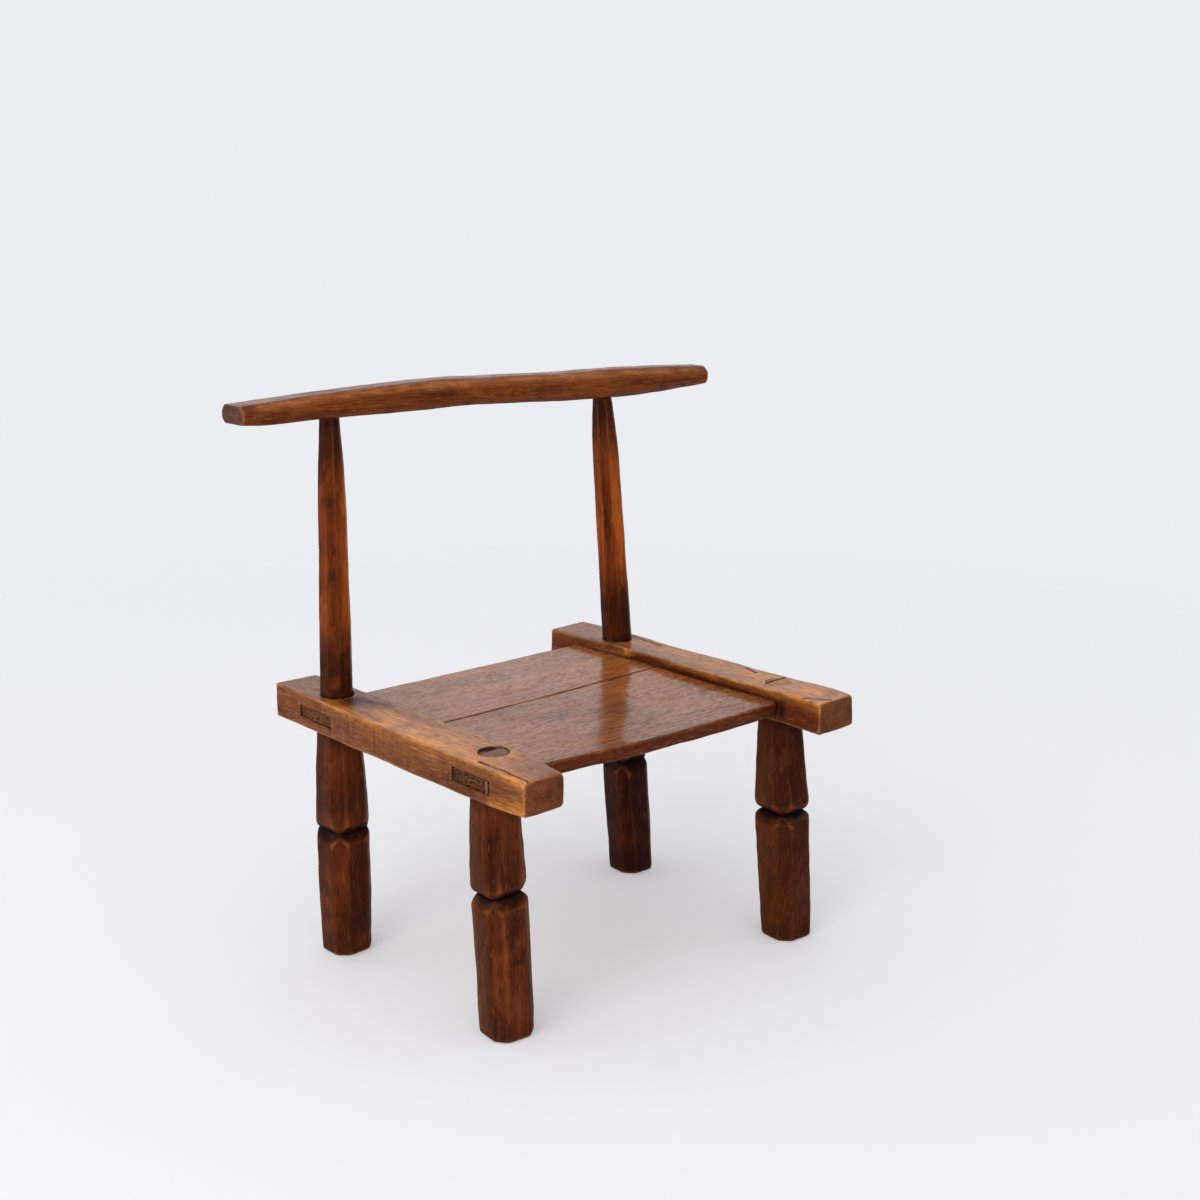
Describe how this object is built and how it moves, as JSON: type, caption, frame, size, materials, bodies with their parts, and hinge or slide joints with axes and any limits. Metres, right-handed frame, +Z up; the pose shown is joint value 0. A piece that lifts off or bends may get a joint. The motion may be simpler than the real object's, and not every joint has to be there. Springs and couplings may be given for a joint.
{
  "type": "african birthing chair",
  "caption": "Low carved hardwood birthing chair: plank seat between heavy side rails, hewn legs with a V-cut waist, slim back posts and a spindle-shaped crest rail.",
  "frame": {"origin": "on the floor, under the middle of the chair's overall box", "axes": "+X to the right of someone who faces the chair's front, +Y to its back, +Z up"},
  "size_m": [0.6032, 0.407, 0.5873],
  "materials": {
    "crest_wood": "hand-worn warm brown hardwood, satin",
    "rail_wood": "golden brown hardwood, worn edges, satin",
    "seat_wood": "mid brown plank, polished by use",
    "leg_wood": "dark red-brown hewn hardwood, waxed",
    "post_wood": "red-brown hewn hardwood, waxed",
    "wedge_wood": "small driven wedges, rough end grain"
  },
  "bodies": {
    "root": {"crest_rail": "crest_wood", "left_side_rail": "rail_wood", "right_side_rail": "rail_wood", "seat_front_board": "seat_wood", "seat_rear_board": "seat_wood", "front_left_leg": "leg_wood", "front_right_leg": "leg_wood", "left_back_post": "post_wood", "right_back_post": "post_wood", "front_left_leg_wedge": "wedge_wood", "front_right_leg_wedge": "wedge_wood", "left_front_seat_wedge": "wedge_wood", "left_rear_seat_wedge": "wedge_wood", "right_front_seat_wedge": "wedge_wood", "right_rear_seat_wedge": "wedge_wood"}
  },
  "joints": []
}
